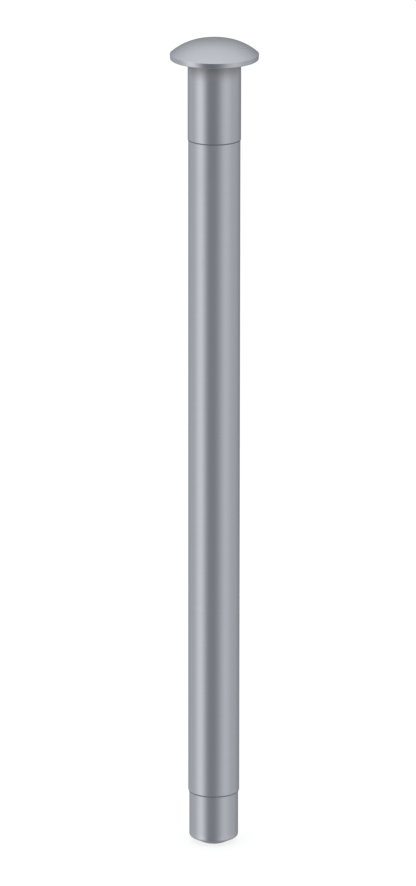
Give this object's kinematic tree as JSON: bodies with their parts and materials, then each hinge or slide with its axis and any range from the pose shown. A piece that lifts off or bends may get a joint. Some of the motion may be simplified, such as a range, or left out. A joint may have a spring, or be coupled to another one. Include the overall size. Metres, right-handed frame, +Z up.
{
  "type": "removable safety bollard",
  "caption": "Round steel plug-in bollard with a mushroom head, a band sleeve below it and a short spigot whose key-driven bolt locks it into a ground sleeve.",
  "frame": {"origin": "on the post axis at ground level, where the shoulder of the post rests on the ground sleeve", "axes": "+Z up along the post towards the head, +Y to the rear where the lock and the screws are, +X to the right seen from the front"},
  "size_m": [0.1296, 0.1296, 1.2264],
  "materials": {
    "post_steel": "finely ground around the tube, satin",
    "band_steel": "finely ground around the sleeve, satin",
    "head_steel": "spun and finely ground in rings, satin",
    "spigot_steel": "finely ground, satin, lightly scuffed where it meets the ground sleeve",
    "seal_rubber": "matt black moulded rubber",
    "plated_steel": "zinc plated, dull",
    "hard_steel": "hardened, ground and oiled",
    "bearing_bronze": "turned bronze, dull",
    "stainless_fittings": "turned stainless steel, satin"
  },
  "bodies": {
    "post": {"post_tube": "post_steel", "shoulder_gasket": "seal_rubber", "band_sleeve": "band_steel", "band_seal": "seal_rubber", "head_dome": "head_steel", "head_base": "plated_steel", "head_stud": "plated_steel", "head_washer": "plated_steel", "head_nut": "plated_steel", "head_screws": "stainless_fittings", "spigot_tube": "spigot_steel", "spigot_nose": "spigot_steel", "spigot_rivets": "stainless_fittings", "lock_barrel": "stainless_fittings", "barrel_saddle": "plated_steel", "barrel_nut": "plated_steel", "stop_pin": "hard_steel", "thrust_washer": "bearing_bronze", "guide_plate": "plated_steel", "bolt_bush": "bearing_bronze", "cover_rivet": "stainless_fittings"},
    "key": {"key_spindle": "hard_steel", "spindle_clip": "plated_steel"},
    "carrier": {"lift_carrier": "plated_steel"},
    "bolt": {"lock_bolt": "hard_steel", "bolt_cross_pin": "hard_steel"},
    "cover": {"dust_cover": "stainless_fittings"}
  },
  "joints": [
    {"name": "key_turn", "type": "hinge", "parent": "post", "child": "key", "pos_m": [0, 0.02, 0.07], "axis": [0, -1, 0], "range_deg": [0, 90]},
    {"name": "carrier_lift", "type": "slide", "parent": "post", "child": "carrier", "axis": [0, 0, 1], "range_m": [0, 0.01273]},
    {"name": "bolt_throw", "type": "slide", "parent": "post", "child": "bolt", "axis": [0, 1, 0], "range_m": [0, 0.00805]},
    {"name": "cover_swing", "type": "hinge", "parent": "post", "child": "cover", "pos_m": [0, 0.0425, 0.097], "axis": [0, 1, 0], "range_deg": [-100, 100]}
  ],
  "couplings": [
    {"joint": "key_turn", "follows": "carrier_lift", "rad_per_m": 123.41},
    {"joint": "bolt_throw", "follows": "carrier_lift", "ratio": 0.62854}
  ]
}
